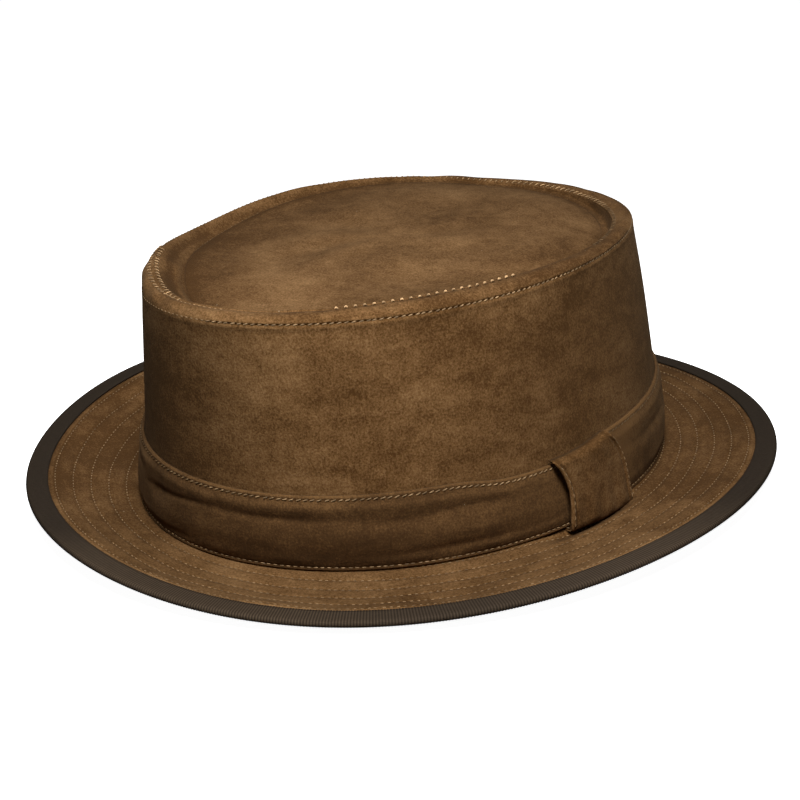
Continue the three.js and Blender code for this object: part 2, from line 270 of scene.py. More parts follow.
def around(values, angle):
    """Closed smooth curve through evenly spaced values: the sum of cosines and sines that passes
    through all of them."""
    count = len(values)
    waves = np.fft.rfft(values) / count
    waves[1:] *= 2.0
    if count % 2 == 0:
        waves[-1] /= 2.0
    turns = np.arange(len(waves))
    phase = np.exp(1j * np.asarray(angle)[..., None] * turns)
    return (waves * phase).real.sum(-1)


def ease(value, low, high):
    """From 0 to 1 between low and high with level ends: three squares less two cubes"""
    t = np.clip((value - low) / (high - low), 0.0, 1.0)
    return t * t * (3.0 - 2.0 * t)


def bell(value, middle, width):
    """A bump of height 1: e to the minus square of the distance over the width"""
    return np.exp(-(((value - middle) / width) ** 2))


def hump(level):
    """A parabola with 0 at both ends and 1 in the middle: four times the share times one less it"""
    return 4.0 * level * (1.0 - level)


def near(angle, degrees, spread):
    """A mark around one angle of the hat: a bell of the cosine of the way round to it"""
    return bell(np.cos(angle - math.radians(degrees)), 1.0, spread)


def ripple(seed, angle, across, waves, highest, reach=1.0):
    """Gentle unevenness between about -1 and 1: a sum of waves around the hat, each with its own
    random turn count, drift across the surface and phase."""
    draw = np.random.default_rng(seed)
    total = 0.0
    for _ in range(waves):
        turns = draw.integers(1, highest + 1)
        drift = draw.uniform(-1.0, 1.0) * reach * TURN
        phase = draw.uniform(0.0, TURN)
        total = total + np.cos(turns * angle + drift * across + phase) / math.sqrt(waves)
    return total


def spots(x, y, z):
    """Points from arrays of their three coordinates, stretched to the same shape"""
    return np.stack(np.broadcast_arrays(x, y, z), -1)


def oval(angle, width, length, left=0.0, back=0.0):
    """Ellipse in plan: half the width times the cosine, half the length times the sine"""
    x = 0.5 * width * np.cos(angle) + left
    y = 0.5 * length * np.sin(angle) + back
    return x, y


def leaned(points, crown):
    """Crown rings are laid out upright on the crown's own foot, turned about X by the lean and
    lifted by the foot's height."""
    cosine, sine = math.cos(crown.lean), math.sin(crown.lean)
    x, y, z = points[..., 0], points[..., 1], points[..., 2]
    return spots(x, y * cosine - z * sine, y * sine + z * cosine + crown.foot)


def seam_height(crown, angle):
    """Height of the outer stitching: the crown's height and a share of the rim's wave"""
    return crown.height + crown.rim_wave * around(RIM_SEAM, angle)


def ridge_height(crown, angle):
    """Height of the inner stitching: crown's height, ridge's rise and a share of the wave"""
    return crown.height + crown.ridge_rise + crown.rim_wave * around(RIM_RIDGE, angle)


def side_oval(crown, band, level):
    """Width, length and shift of the side panel at a share of its height: the quadratic that
    passes through the foot, the waist and the seam."""
    waist = (band.lift + band.width) / crown.height
    foot_part = (level - waist) * (level - 1.0) / waist
    waist_part = level * (level - 1.0) / (waist * (waist - 1.0))
    seam_part = level * (level - waist) / (1.0 - waist)
    return (
        foot_part * crown.width + waist_part * crown.waist_width + seam_part * crown.seam_width,
        foot_part * crown.length + waist_part * crown.waist_length + seam_part * crown.seam_length,
        waist_part * crown.waist_left,
        waist_part * crown.waist_back + seam_part * crown.seam_back,
    )


def side_ring(crown, band, angle, level, out, height):
    """The side panel's oval at a share of its height, widened by out and put at a height"""
    width, length, left, back = side_oval(crown, band, level)
    x, y = oval(angle, width + 2.0 * out, length + 2.0 * out, left, back)
    return spots(x, y, height)


def side_point(crown, band, angle, level, out=0.0):
    """Side panel: the widened oval at the share times the seam's height"""
    return side_ring(crown, band, angle, level, out, level * seam_height(crown, angle))


def rim_point(crown, band, angle, level, out=0.0):
    """Rolled rim: the straight line from seam to ridge, swollen at right angles to itself by the
    parabola four times share times one less share, and by out."""
    low = side_point(crown, band, angle, 1.0)
    x, y = oval(angle, crown.ridge_width, crown.ridge_length, crown.ridge_left, crown.ridge_back)
    high = spots(x, y, ridge_height(crown, angle))
    across = np.hypot(high[..., 0] - low[..., 0], high[..., 1] - low[..., 1])
    rise = high[..., 2] - low[..., 2]
    slant = np.hypot(across, rise)
    swell = hump(level) * crown.rim_swell + out
    point = low + (high - low) * np.asarray(level)[..., None]
    outward = swell * rise / slant
    return spots(
        point[..., 0] + outward * np.cos(angle),
        point[..., 1] + outward * np.sin(angle),
        point[..., 2] + swell * across / slant,
    )


def lip_sharp(angle):
    """How sharp the rim's lip is, from 0 to 1"""
    return np.clip(around(LIP, angle), 0.0, 1.0)


def well_point(crown, angle, level, drop=0.0):
    """Inner slope of the rim: inwards from the ridge by a share of the well's width, down by the
    well's depth on an S curve."""
    sharp = lip_sharp(angle)
    inset = around(WELL_WIDTH, angle) * (level + sharp * (level ** 1.8 - level))
    steep = ease(level, 0.0, 0.62)
    fall = around(WELL_DEPTH, angle) * (ease(level, 0.06, 1.0) * (1.0 - sharp) + steep * sharp)
    x, y = oval(
        angle,
        crown.ridge_width - 2.0 * inset,
        crown.ridge_length - 2.0 * inset,
        crown.ridge_left,
        crown.ridge_back,
    )
    return spots(x, y, ridge_height(crown, angle) - fall - drop)


def tip_point(crown, angle, level, drop=0.0):
    """Tip: from the crease at the foot of the well to the middle along straight lines in plan,
    rising fast at first and then slowly, with a shallow unevenness."""
    edge = well_point(crown, angle, 1.0)
    x = edge[..., 0] * (1.0 - level) + crown.ridge_left * level
    y = edge[..., 1] * (1.0 - level) + crown.ridge_back * level
    field = crown.height + crown.ridge_rise + crown.field_rise
    climb = 1.0 - (1.0 - np.clip(level / 0.42, 0.0, 1.0)) ** 2.4
    base = edge[..., 2] + (field - edge[..., 2]) * climb
    dome = 1.1 * ease(level, 0.1, 1.0)
    soft = ease(level, 0.0, 0.2) * (1.0 - ease(level, 0.55, 1.0))
    uneven = 0.55 * soft * ripple(11, angle, level, waves=8, highest=6, reach=1.6)
    return spots(x, y, base + dome + uneven - drop)


# Meshes


def signed_volume(points, quads):
    """A sixth of the sum of the triple products of each face's corners, two triangles a face"""
    a, b, c, d = (points[quads[:, k]] for k in range(4))
    half = np.einsum("ij,ij->i", a, np.cross(b, c)) + np.einsum("ij,ij->i", a, np.cross(c, d))
    return half.sum() / 6.0


def grid_quads(count, across, around_too, across_too):
    """Corner numbers of every cell of a grid, wrapping either way where it closes"""
    i = np.arange(count if around_too else count - 1)
    j = np.arange(across if across_too else across - 1)
    i, j = (a.ravel() for a in np.meshgrid(i, j, indexing="ij"))
    after_i, after_j = (i + 1) % count, (j + 1) % across
    here, after = i * across, after_i * across
    return np.stack((here + j, after + j, after + after_j, here + after_j), -1), (i, j)


def new_object(name, data):
    obj = bpy.data.objects.new(name, data)
    bpy.context.scene.collection.objects.link(obj)
    return obj


def put_mesh(name, points, quads, triangles=np.zeros((0, 3), int), uvs=None, marks=None):
    """A mesh object from arrays in millimetres, its faces turned to point outwards"""
    if signed_volume(points, np.concatenate([quads, triangles[:, [0, 0, 1, 2]]])) < 0.0:
        quads, triangles = quads[:, ::-1], triangles[:, ::-1]
        uvs = None if uvs is None else uvs[:, ::-1]
    corners = np.concatenate([quads.ravel(), triangles.ravel()])
    ends = np.arange(len(triangles)) * 3 + quads.size
    starts = np.concatenate([np.arange(len(quads)) * 4, ends])
    mesh = bpy.data.meshes.new(name)
    mesh.vertices.add(len(points))
    mesh.vertices.foreach_set("co", (points * MM).astype(np.float32).ravel())
    mesh.loops.add(len(corners))
    mesh.loops.foreach_set("vertex_index", corners.astype(np.int32))
    mesh.polygons.add(len(starts))
    mesh.polygons.foreach_set("loop_start", starts.astype(np.int32))
    mesh.update(calc_edges=True)
    mesh.validate()
    mesh.shade_smooth()
    if uvs is not None:
        layer = mesh.uv_layers.new(name="weave")
        layer.data.foreach_set("uv", uvs.astype(np.float32).ravel())
    for key, values in (marks or {}).items():
        layer = mesh.attributes.new(key, "FLOAT", "POINT")
        most = 1.3 if key == "shade" else 1.0
        layer.data.foreach_set("value", np.clip(values, 0.0, most).astype(np.float32).ravel())
    return new_object(name, mesh)


def put_ring(name, grid, poles=False, woven=0.0, **marks):
    """A closed band: sections of points joined all the way round. The sections close on
    themselves, or run from one pole to the other, where their end points become one. Woven is
    the length of one step along the weave, for its UV map."""
    count, across = grid.shape[:2]
    points = grid.reshape(-1, 3)
    quads, cells = grid_quads(count, across, True, not poles)
    more = {}
    if poles:
        here = np.arange(count) * across
        after = np.roll(here, -1)
        first = np.full(count, len(points))
        points = np.concatenate([points, [grid[:, 0].mean(0)], [grid[:, -1].mean(0)]])
        marks = {k: np.append(v, [v[0, 0], v[0, -1]]) for k, v in marks.items()}
        start = np.stack((first, after, here), -1)
        end = np.stack((first + 1, here + across - 1, after + across - 1), -1)
        more["triangles"] = np.concatenate([start, end])
    if woven:
        along = np.arange(count + 1) * woven * MM
        step = np.linalg.norm(np.diff(grid[0], axis=0, append=grid[0, :1]), axis=-1)
        over = np.concatenate([[0.0], np.cumsum(step)]) * MM
        i, j = cells
        u = along[np.stack((i, i + 1, i + 1, i), -1)]
        v = over[np.stack((j, j, j + 1, j + 1), -1)]
        more["uvs"] = np.stack((u, v), -1)
    return put_mesh(name, points, quads, marks=marks, **more)


def thread_grain(coarse):
    """One stitch along X: rings of points that swell in the middle and dive at the ends. A coarse
    one, for needle holes and the underside, has two rings of four points."""
    sides = 4 if coarse else 6
    stations = np.array([-0.3, 0.3] if coarse else [-0.46, -0.22, 0.22, 0.46])
    girth = np.array([1.0, 1.0] if coarse else [0.55, 1.0, 1.0, 0.55])
    turn = np.arange(sides) * TURN / sides
    ring = np.stack((np.zeros(sides), np.cos(turn), np.sin(turn)), -1)
    rings = ring[None] * girth[:, None, None]
    rings[..., 0] = stations[:, None]
    points = np.concatenate([rings.reshape(-1, 3), [[-0.54, 0.0, 0.0], [0.54, 0.0, 0.0]]])
    quads, _ = grid_quads(len(stations), sides, False, True)
    here, after = np.arange(sides), (np.arange(sides) + 1) % sides
    tail = np.full(sides, len(points) - 2)
    front = (len(stations) - 1) * sides
    ends = np.concatenate([
        np.stack((tail, after, here), -1),
        np.stack((tail + 1, front + here, front + after), -1),
    ])
    return points, quads, ends


def put_stitches(name, rows):
    """Many stitches in one mesh. Each row gives middles, directions, outward normals, a length, a
    thickness and how far the middle stands above the surface; the ends dive below it. Nothing goes
    below the resting plane."""
    points, all_quads, all_ends = [], [], []
    first = 0
    for row in rows:
        grain, quads, ends = thread_grain(row["coarse"])
        ahead, up = row["ahead"], row["up"]
        radius = row["girth"] / 2.0
        bow = radius * (1.0 - (2.0 * grain[None, :, :1]) ** 2)
        local = (
            row["middle"][:, None]
            + ahead[:, None] * grain[None, :, :1] * row["length"]
            + np.cross(up, ahead)[:, None] * grain[None, :, 1:2] * radius
            + up[:, None] * (grain[None, :, 2:] * radius * 0.8 + bow + row["rise"])
        )
        local[..., 2] = np.maximum(local[..., 2], FLOOR_GAP["thread"])
        points.append(local.reshape(-1, 3))
        offset = first + np.arange(len(local))[:, None, None] * len(grain)
        all_quads.append((quads[None] + offset).reshape(-1, 4))
        all_ends.append((ends[None] + offset).reshape(-1, 3))
        first += len(points[-1])
    return put_mesh(
        name, np.concatenate(points), np.concatenate(all_quads), np.concatenate(all_ends)
    )


def sewn(surface, place, pitch, span, slant, jitter=0, seed=1, side=1.0):
    """Evenly spaced stitches along a line of constant place on a surface of angle and place:
    middles, directions and outward normals, the directions turned in the surface by slant."""

    def level_at(angles):
        return place(angles) if callable(place) else np.full(angles.shape, float(place))

    start, stop = span
    dense = np.linspace(start, stop, 4000)
    line = surface(dense, level_at(dense))
    run = np.concatenate([[0.0], np.cumsum(np.linalg.norm(np.diff(line, axis=0), axis=-1))])
    count = max(1, int(round(run[-1] / pitch)))
    at = np.interp((np.arange(count) + 0.5) * run[-1] / count, run, dense)
    if jitter:
        noise_at = np.random.default_rng(seed).normal(0.0, 0.06 * jitter, count)
        at = at + noise_at * (stop - start) / count
    level = level_at(at)
    small = 1e-3
    middle = surface(at, level)
    ahead = surface(at + small, level_at(at + small)) - middle
    ahead /= np.linalg.norm(ahead, axis=-1, keepdims=True)
    up = side * np.cross(ahead, surface(at, level + small) - middle)
    up /= np.linalg.norm(up, axis=-1, keepdims=True)
    turned = ahead * math.cos(slant) + np.cross(up, ahead) * math.sin(slant)
    return {"middle": middle, "ahead": turned, "up": up}


def finish_piece(obj, material, slot, *nodes):
    """Gives a piece its material and its body, and hides the nodes that it stands for. Slot is not
    used.
    """
    obj.data.materials.append(material)
    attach(obj, "root")
    if nodes:
        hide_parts(*nodes)


# Materials


class Net:
    """Adds and joins the nodes of one tree. A value given to an input is set there, and the
    output of another node is linked to it."""

    def __init__(self, tree):
        self.tree = tree

    def fill(self, socket, value):
        if isinstance(value, bpy.types.NodeSocket):
            self.tree.links.new(value, socket)
        else:
            socket.default_value = value

    def dress(self, node, **values):
        """Fills inputs and settings by name, with a _ for each space of an input's name"""
        for key, value in values.items():
            socket = node.inputs.get(key.replace("_", " "))
            if socket is None:
                setattr(node, key, value)
            else:
                self.fill(socket, value)
        return node

    def add(self, kind, **values):
        return self.dress(self.tree.nodes.new(kind), **values)

    def coordinates(self):
        return self.add("ShaderNodeTexCoord").outputs["Object"]

    def mark(self, name):
        return self.add("ShaderNodeAttribute", attribute_name=name).outputs["Fac"]

    def noise(self, vector, scale, detail, rough=0.55, distort=0.0):
        node = self.add(
            "ShaderNodeTexNoise", Vector=vector, Scale=scale, Detail=detail, Roughness=rough,
            Distortion=distort,
        )
        return node.outputs["Fac"]

    def maths(self, operation, *values):
        node = self.add("ShaderNodeMath", operation=operation)
        for socket, value in zip(node.inputs, values):
            self.fill(socket, value)
        return node.outputs[0]

    def span(self, value, low, high, clamp=True):
        """0 to 1 while the value goes from low to high"""
        node = self.add(
            "ShaderNodeMapRange", clamp=clamp, Value=value, From_Min=low, From_Max=high
        )
        return node.outputs["Result"]

    def blend(self, factor, *colours):
        """From the first colour to the second"""
        node = self.add("ShaderNodeMix", data_type="RGBA", Factor=factor)
        ends = [socket for socket in node.inputs if socket.type == "RGBA"]
        for socket, colour in zip(ends, colours):
            self.fill(socket, colour)
        return [socket for socket in node.outputs if socket.type == "RGBA"][0]

    def dimmed(self, colour, factor):
        node = self.add("ShaderNodeVectorMath", operation="SCALE", Vector=colour, Scale=factor)
        return node.outputs["Vector"]

    def tones(self, value, base, stops):
        """Colour ramp over a value: each stop is a place and a share of the base colour"""
        node = self.add("ShaderNodeValToRGB", Fac=value)
        elements = node.color_ramp.elements
        while len(elements) < len(stops):
            elements.new(1.0)
        for element, (place, part) in zip(elements, stops):
            element.position = place
            element.color = (*scaled(base, part), 1.0)
        return node.outputs["Color"]

    def relief(self, height, strength, distance):
        node = self.add("ShaderNodeBump", Height=height, Strength=strength, Distance=distance)
        return node.outputs["Normal"]

    def surface(self, **values):
        self.dress(self.tree.nodes["Principled BSDF"], **values)


def scaled(colour, factor):
    return tuple(channel * factor for channel in colour)


def new_material(name):
    material = bpy.data.materials.new(name)
    material.use_nodes = True
    return material, Net(material.node_tree)


def suede_nap():
    """Brushed nap: broad clouds, brushed patches drawn out sideways, streaks, fine fibres and
    specks of lint. Puts out the colour, a height for a Bump node and the roughness."""
    name = "Suede nap"
    if name in bpy.data.node_groups:
        return bpy.data.node_groups[name]
    tree = bpy.data.node_groups.new(name, "ShaderNodeTree")
    sockets = (
        ("INPUT", "NodeSocketColor", ("Dark", "Middle", "Light")),
        ("INPUT", "NodeSocketFloat", ("Wear", "Shade")),
        ("OUTPUT", "NodeSocketColor", ("Color",)),
        ("OUTPUT", "NodeSocketFloat", ("Height", "Roughness")),
    )
    for way, kind, labels in sockets:
        for label in labels:
            tree.interface.new_socket(label, in_out=way, socket_type=kind)
    net = Net(tree)
    given = net.add("NodeGroupInput").outputs
    place = net.coordinates()
    flat = net.add("ShaderNodeMapping", Vector=place, Scale=(0.35, 0.35, 1.0)).outputs[0]
    clouds = net.noise(place, 22.0, 3.0, 0.5, 0.4)
    brushed = net.noise(flat, 130.0, 4.0, 0.6, 0.6)
    mottle = net.noise(place, 260.0, 4.0, 0.65)
    grain = net.noise(place, 1500.0, 3.0, 0.7)
    fibre = net.noise(place, 4200.0, 2.0, 0.6)
    broad = net.maths("ADD", clouds, brushed)
    fine = net.maths("MULTIPLY_ADD", mottle, 0.8, net.maths("MULTIPLY", grain, 2.0))
    tone = net.span(net.maths("ADD", broad, fine), 1.94, 2.88, clamp=False)
    # Lighten raises the tone for wear and for painted light, so worn holds both; Shade lowers it
    # for painted shade and for darker pieces
    worn = net.maths("MULTIPLY_ADD", given["Wear"], 0.45, tone)
    shaded = net.maths("MULTIPLY_ADD", given["Shade"], -0.45, worn)
    colour = net.blend(net.span(shaded, 0.0, 0.5), given["Dark"], given["Middle"])
    colour = net.blend(net.span(shaded, 0.5, 1.1), colour, given["Light"])
    cell = net.add("ShaderNodeTexVoronoi", Vector=place, Scale=150.0).outputs
    speck = net.maths("LESS_THAN", cell["Distance"], 0.035)
    lot = net.add("ShaderNodeSeparateColor", Color=cell["Color"]).outputs[0]
    lint = net.maths("MULTIPLY", speck, net.maths("GREATER_THAN", lot, 0.72))
    height = net.maths("MULTIPLY_ADD", fibre, 0.35, net.maths("MULTIPLY", grain, 0.6))
    net.add(
        "NodeGroupOutput",
        Color=net.blend(lint, colour, (0.42, 0.33, 0.22, 1.0)),
        Height=net.maths("MULTIPLY_ADD", mottle, 0.8, height),
        Roughness=net.maths("MULTIPLY_ADD", mottle, 0.12, 0.86),
    )
    return tree


def suede(name):
    """The crown's or the band's suede, made on first use: the nap over three colours, lighter where
    it is worn and where light is painted, darker where shade is painted and, as painted shade,
    where it is seen edge on"""
    if name in bpy.data.materials:
        return bpy.data.materials[name]
    finish = sizes("hat_finish")
    dark, middle, light = finish.suede_dark, finish.suede, finish.suede_light
    edge_shade = finish.edge_painted_shade
    if name == "Band suede":
        dark, middle, light = scaled(finish.band, 0.66), finish.band, finish.band_light
        edge_shade = 0.75 * edge_shade
    material, net = new_material(name)
    nap = net.add(
        "ShaderNodeGroup", node_tree=suede_nap(), Dark=(*dark, 1.0), Middle=(*middle, 1.0),
        Light=(*light, 1.0), Wear=net.mark("wear"), Shade=net.mark("shade"),
    ).outputs
    # Painted shade: the colour is dimmed where the surface is seen edge on
    facing = net.add("ShaderNodeLayerWeight", Blend=0.5).outputs["Facing"]
    net.surface(
        Base_Color=net.dimmed(nap["Color"], net.maths("MULTIPLY_ADD", facing, -edge_shade, 1.0)),
        Roughness=nap["Roughness"],
        Normal=net.relief(nap["Height"], 0.55, 0.0005),
        Specular_IOR_Level=0.08,
        Sheen_Weight=0.06,
        Sheen_Roughness=0.5,
        Sheen_Tint=(0.8, 0.5, 0.25, 1.0),
    )
    return material


def ribbon_weave(rib):
    """Grosgrain: rounded ribs across the ribbon from a wave along it, with finer threads"""
    material, net = new_material("Grosgrain")
    place = net.add("ShaderNodeUVMap", uv_map="weave").outputs["UV"]

    def wave(direction, spacing):
        node = net.add(
            "ShaderNodeTexWave", wave_type="BANDS", bands_direction=direction,
            wave_profile="SIN", Vector=place, Scale=TURN / (20.0 * spacing * MM),
        )
        return node.outputs["Fac"]

    ribs, threads = wave("X", rib), wave("Y", 0.45)
    fuzz = net.noise(net.coordinates(), 900.0, 3.0, 0.6)
    height = net.maths("MULTIPLY_ADD", threads, 0.2, fuzz)
    mixed = net.maths("MULTIPLY_ADD", fuzz, 0.3, net.maths("MULTIPLY", ribs, 0.7))
    stops = ((0.15, 0.55), (0.5, 1.0), (0.85, 1.6))
    tone = net.tones(mixed, sizes("hat_finish").ribbon, stops)
    net.surface(
        # Painted light: the ribbon is made lighter where the light falls on it and along its fold
        Base_Color=net.dimmed(tone, net.maths("MULTIPLY_ADD", net.mark("wear"), 1.1, 0.6)),
        Normal=net.relief(net.maths("MULTIPLY_ADD", ribs, 0.5, height), 0.8, 0.00022),
        Roughness=0.8,
        Specular_IOR_Level=0.1,
    )
    return material


def hole_painted_shade():
    name = "Needle hole"
    if name in bpy.data.materials:
        return bpy.data.materials[name]
    material, net = new_material(name)
    # Painted shade: dark grains stand for the shade inside the needle holes
    dark = scaled(sizes("hat_finish").suede_dark, 0.6)
    net.surface(Base_Color=(*dark, 1.0), Roughness=1.0, Specular_IOR_Level=0.0)
    return material


def thread_twist(name, dim):
    """Thread in a share of the thread's colour, uneven along its run and finely twisted"""
    if name in bpy.data.materials:
        return bpy.data.materials[name]
    material, net = new_material(name)
    place = net.coordinates()
    base = scaled(sizes("hat_finish").thread, dim)
    stops = ((0.36, 0.55), (0.52, 1.0), (0.68, 1.5))
    net.surface(
        Base_Color=net.tones(net.noise(place, 300.0, 2.0), base, stops),
        Normal=net.relief(net.noise(place, 5000.0, 1.0), 0.5, 0.0001),
        Roughness=0.75,
        Specular_IOR_Level=0.2,
    )
    return material


# Pieces


def worn_out(angle):
    """Where years of handling have flattened the outer stitching: 1 at the front right corner"""
    return near(angle, WORN_CORNER, 0.2)


def side_skin(crown, band, angle, level):
    """Outside of the side panel with its shallow dents and the pull of the outer stitching"""
    out = 0.35 * ripple(3, angle, level, waves=10, highest=9) * ease(level, 0.25, 0.6)
    out = out * (1.0 - ease(level, 0.88, 1.0))
    pull = 0.15 * bell(level, 0.985, 0.01) - 0.3 * bell(level, 1.0, 0.006)
    out = out + pull * (1.0 - (1.0 - WORN_PULL) * worn_out(angle))
    return leaned(side_point(crown, band, angle, level, out), crown)


def rim_skin(crown, band, angle, level):
    """Outside of the rolled rim between its rows, puckered at both"""
    pull = -0.3 * bell(level, 0.0, 0.06) * (1.0 - (1.0 - WORN_PULL) * worn_out(angle))
    pull = pull - (0.22 - 0.6 * lip_sharp(angle)) * bell(level, 1.0, 0.1)
    soft = 0.22 * ripple(5, angle, level, waves=12, highest=40) * hump(level)
    return leaned(rim_point(crown, band, angle, level, pull + soft), crown)


def well_skin(crown, angle, level):
    """Outside of the inner slope: a crisp or a rolled lip, folds at the worn corner"""
    sharp = lip_sharp(angle)
    lip = (0.6 * sharp - 0.25) * bell(level, 0.0, 0.08)
    lip = lip + 0.3 * (1.0 - sharp) * bell(level, 0.18, 0.1)
    lip = lip + worn_out(angle) * (0.5 * bell(level, 0.78, 0.09) - 0.4 * bell(level, 0.97, 0.06))
    soft = 0.2 * ripple(7, angle, level, waves=12, highest=30) * hump(level)
    return leaned(well_point(crown, angle, level, -lip - soft), crown)


def stations():
    """Angles of the grid lines around the hat, as a column"""
    return np.arange(STATIONS)[:, None] * TURN / STATIONS


def swept(*parts):
    """Sections around the hat: each part's surface at its levels, end to end"""
    angle = stations()
    return np.concatenate([skin(angle, np.asarray(s, float)[None]) for s, skin in parts], axis=1)


class HatCrownOperator(bpy.types.Operator):
    """Side panel of the crown with its rolled rim and inner slope"""

    bl_idname = "hat.crown"
    bl_label = "Crown side"

    def execute(self, context):
        crown, band = sizes("hat_crown"), sizes("hat_band")
        wall = crown.wall
        side = np.concatenate([np.linspace(0.0, 0.94, 34), np.linspace(0.95, 1.0, 11)])
        rim = np.linspace(0.03, 1.0, 22)
        well = np.linspace(0.04, 1.0, 24)

        def inner_side(a, s):
            return leaned(side_point(crown, band, a, s, -wall), crown)

        grid = swept(
            (side, partial(side_skin, crown, band)),
            (rim, partial(rim_skin, crown, band)),
            (well, partial(well_skin, crown)),
            ([1.0, 0.8, 0.55, 0.3], lambda a, s: leaned(well_point(crown, a, s, wall), crown)),
            ([0.6, 0.35, 0.1], lambda a, s: leaned(rim_point(crown, band, a, s, -wall), crown)),
            (np.linspace(0.97, 0.0, 20), inner_side),
        )
        on_side = slice(0, len(side))
        on_rim = slice(on_side.stop, on_side.stop + len(rim))
        on_well = slice(on_rim.stop, on_rim.stop + len(well))
        wear, shade = np.zeros((2, *grid.shape[:2]))
        angle = stations()
        # nap holds the rim's painted shade, and painted light where it is below 0
        nap, sharp, worn = around(RIM_PAINTED_SHADE, angle), lip_sharp(angle), worn_out(angle)
        low = 1.0 - ease(side, 0.3, 0.75)
        # The side's painted shade fades out near the top at the worn corner and around SIDE_ROLL
        top = ease(side, 0.8, 0.97) * np.maximum(worn, 0.6 * near(angle, SIDE_ROLL, 0.2))
        wear[:, on_side] = 0.1 * ease(side, 0.55, 0.95)
        # Painted shade around the side from its table, held in brushed, and darker towards the
        # bottom
        brushed = around(SIDE_PAINTED_SHADE, angle) * (1.0 - 0.7 * low) * (1.0 - top)
        shade[:, on_side] = 0.38 * low + brushed
        # Rim: lighter at a scuffed spot, with painted light and painted shade from its table
        wear[:, on_rim] = (0.45 * near(angle, RIM_SCUFF, 0.006) - nap) * ease(rim, 0.1, 0.4)
        shade[:, on_rim] = np.maximum(nap, 0.0)
        # Inner slope: lighter along the crisp lip, with painted shade down the wall and in the
        # folds at the worn corner
        wear[:, on_well] = 0.3 * sharp * bell(well, 0.0, 0.1)
        soft_wall = 0.1 + 0.75 * ease(well, 0.25, 0.75)
        dark_wall = 0.2 + 0.8 * ease(well, 0.03, 0.3)
        plain = soft_wall * (1.0 - sharp) + dark_wall * sharp
        folded = bell(well, 0.53, 0.18) + 0.9 * bell(well, 1.0, 0.1)
        shade[:, on_well] = plain + (folded - plain) * worn
        obj = put_ring("crown_side_skin", grid, wear=wear, shade=shade)
        finish_piece(obj, suede("Suede"), "suede", "crown_side")
        return {"FINISHED"}


class HatTipOperator(bpy.types.Operator):
    """Tip of the crown: the oval panel sunk inside the rim"""

    bl_idname = "hat.tip"
    bl_label = "Tip"

    def execute(self, context):
        crown = sizes("hat_crown")
        levels = np.concatenate([np.linspace(0.0, 0.14, 18), np.linspace(0.16, 0.99, 44)])[::-1]
        tucked = [0.97, 0.9, 0.82]
        below = [0.0, 0.05, 0.12, 0.2, 0.35, 0.5, 0.7, 0.85, 0.99]

        def face(a, s):
            return leaned(tip_point(crown, a, s, 0.15 * bell(s, 0.0, 0.01)), crown)

        grid = swept(
            (levels, face),
            (tucked, lambda a, s: leaned(well_point(crown, a, s, 0.9), crown)),
            (below, lambda a, s: leaned(tip_point(crown, a, s, crown.wall), crown)),
        )
        angle, top = stations(), slice(0, len(levels))
        wear, shade = np.zeros((2, *grid.shape[:2]))
        # Painted shade at the crease, on the side in the rim's shadow and at a soft dent; painted
        # light towards the front
        shade[:, top] = 0.7 * (1.0 - ease(levels, 0.0, 0.08))
        shade[:, top] += 0.7 * near(angle, TIP_PAINTED_SHADOW, 0.5) * (1.0 - ease(levels, 0.1, 0.9))
        shade[:, top] += 0.75 * near(angle, TIP_DENT_PAINTED_SHADE, 0.045) * bell(levels, 0.13, 0.08)
        wear[:, top] = 0.3 * (0.5 - 0.5 * np.sin(angle)) * bell(levels, 0.45, 0.3)
        obj = put_ring("crown_tip_skin", grid, poles=True, wear=wear, shade=shade)
        finish_piece(obj, suede("Suede"), "suede", "crown_tip")
        return {"FINISHED"}


def brim_reach(crown, brim, angle):
    """Crown's foot to the brim's outer edge along the ray of one angle"""
    x = 0.5 * (brim.width - crown.width) * np.cos(angle)
    y = 0.5 * (brim.length - crown.length) * np.sin(angle)
    return np.hypot(x, y)


def binding_half(brim):
    """Half the thickness of the bound edge: half the brim there, some room and the ribbon"""
    return 0.5 * brim.skived + FOLD_ROOM + brim.ribbon


def edge_height(brim, angle):
    """Height of the edge's middle: half the bound edge and a share of the lift"""
    return binding_half(brim) + (brim.lift + 0.4) * np.maximum(0.0, around(BRIM_LIFT, angle))


def brim_middle(crown, brim, angle, level, up):
    """Middle of the brim's thickness at a share of the way out: straight in plan from the foot to
    the edge; its height goes from foot to edge by a blend of the share and its square, and is
    level under the binding. Nothing goes below the resting plane."""
    foot_x, foot_y = oval(angle, crown.width, crown.length)
    foot = leaned(spots(foot_x, foot_y, -brim.gap - 0.5 * brim.thickness), crown)
    back = 2.0 * (brim.ribbon + brim.gap)
    edge_x, edge_y = oval(angle, brim.width - back, brim.length - back)
    margin = 1.0 - FLAT_EDGE / brim_reach(crown, brim, angle)
    way = np.clip(level / margin, -1.0, 1.0)
    bent = way * (1.0 - brim.curl) + way * np.abs(way) * brim.curl
    sag = brim.dip * near(angle, BRIM_SAG, 0.42) * hump(np.clip(way, 0.0, 1.0))
    sag = sag + DIP_DEPTH * near(angle, BRIM_DIP, 0.022) * bell(way, 0.09, 0.08)
    z = foot[..., 2] + (edge_height(brim, angle) - foot[..., 2]) * bent + up - sag
    x = foot[..., 0] + (edge_x - foot[..., 0]) * level
    y = foot[..., 1] + (edge_y - foot[..., 1]) * level
    return spots(x, y, np.maximum(z, FLOOR_GAP["brim"]))


def row_levels(crown, brim, angle, row):
    """Share of the way out of a row of stitches, row 0 being the one at the binding"""
    return 1.0 - (brim.edge_row + row * brim.row_step) / brim_reach(crown, brim, angle)


